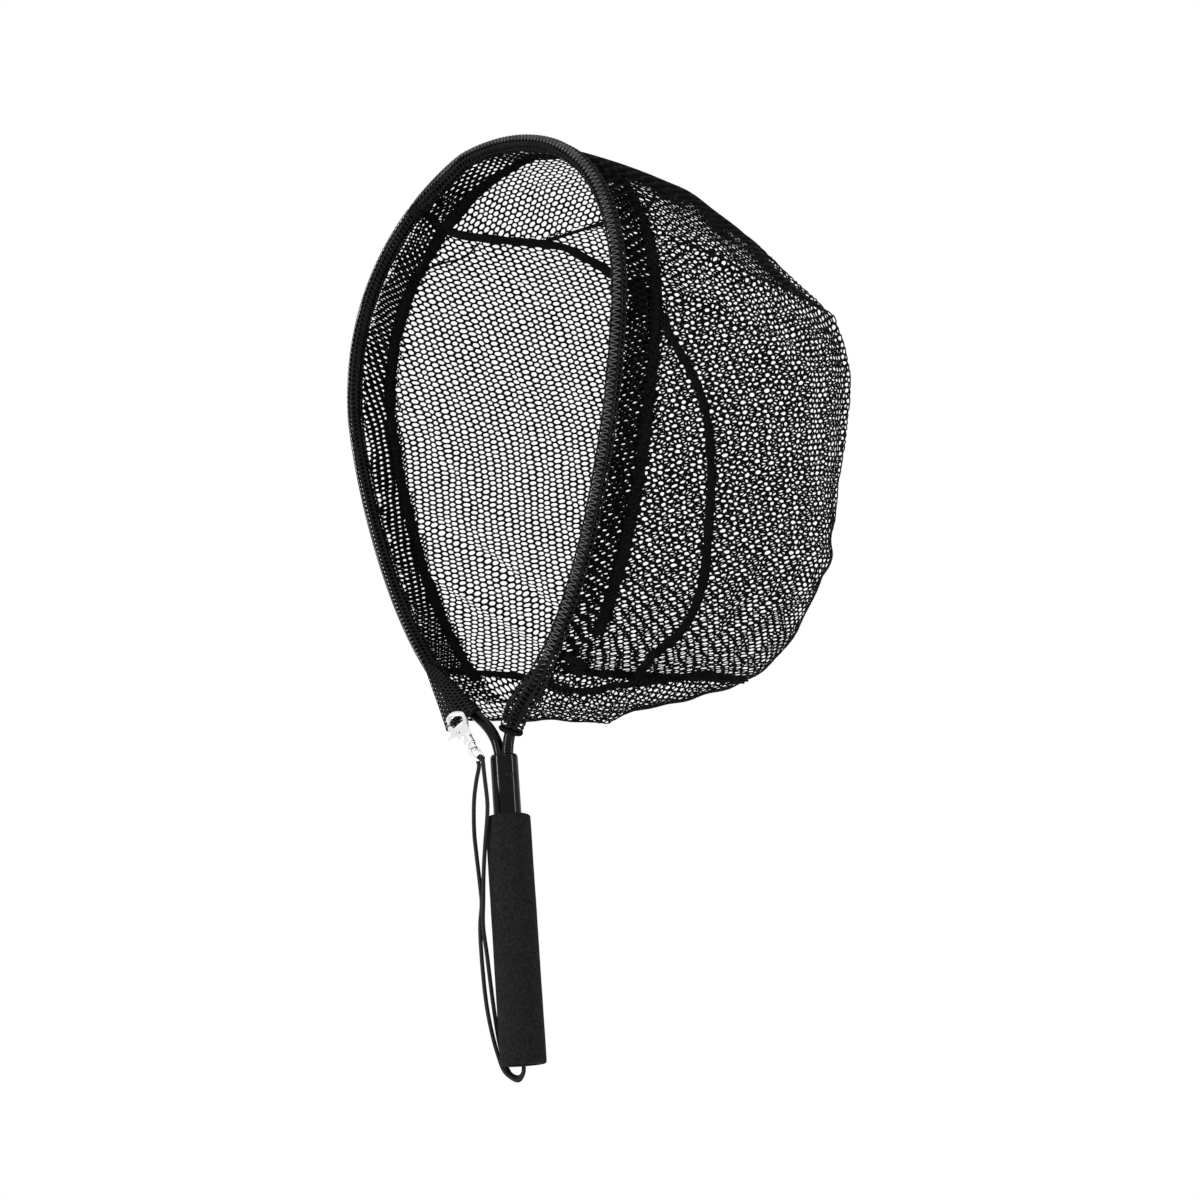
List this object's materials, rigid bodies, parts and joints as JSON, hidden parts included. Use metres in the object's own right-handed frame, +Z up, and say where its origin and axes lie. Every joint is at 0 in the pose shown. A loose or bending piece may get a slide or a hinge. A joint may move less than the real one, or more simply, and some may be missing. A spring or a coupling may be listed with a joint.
{
  "type": "landing net",
  "caption": "Hand-held fishing landing net: teardrop tube hoop, black mesh bag, foam grip, elastic lanyard with swivel snap hook.",
  "frame": {"origin": "middle of the foam grip on the handle's axis, where a hand holds the net", "axes": "+Z up the handle to the hoop, hoop in the XZ plane, mouth faces -Y, bag towards +Y"},
  "size_m": [0.3111, 0.2285, 0.6159],
  "materials": {
    "tube_gloss": "gloss black paint on aluminium tube",
    "plastic": "satin moulded plastic",
    "foam": "matt closed-cell foam",
    "net": "coated knitted mesh",
    "thread": "matt sewing thread and tape",
    "cord": "braided elastic cord",
    "chrome": "bright plate"
  },
  "bodies": {
    "net": {"hoop_tube": "tube_gloss", "handle_tube": "tube_gloss", "neck_plug": "plastic", "frame_rivet": "tube_gloss", "foam_grip": "foam", "butt_plug": "plastic", "cord_knot": "cord", "left_panel": "net", "right_panel": "net", "centre_seam": "thread", "left_hem": "net", "right_hem": "net", "left_hem_stitching": "thread", "right_hem_stitching": "thread", "left_hem_sleeve": "net", "right_hem_sleeve": "net", "left_sleeve_end": "net", "hook_body": "chrome", "gate_pin": "chrome", "swivel_rivet": "chrome", "lanyard_strand_a": "cord", "lanyard_strand_b": "cord"},
    "gate": {"gate_lever": "chrome"},
    "eye": {"swivel_eye": "chrome", "lanyard_bight": "cord"}
  },
  "joints": [
    {"name": "gate_hinge", "type": "hinge", "parent": "net", "child": "gate", "pos_m": [-0.02321, -0.01601, 0.13161], "axis": [-0.5478, 0.7008, -0.4569], "range_deg": [0, 30], "stiffness_Nm_per_rad": 0.004, "springref_deg": -11.46},
    {"name": "swivel_turn", "type": "hinge", "parent": "net", "child": "eye", "pos_m": [-0.01385, -0.01428, 0.12304], "axis": [-0.606, 0.0441, 0.7943], "continuous": true, "deforming": ["lanyard_strand_a", "lanyard_strand_b"]}
  ]
}
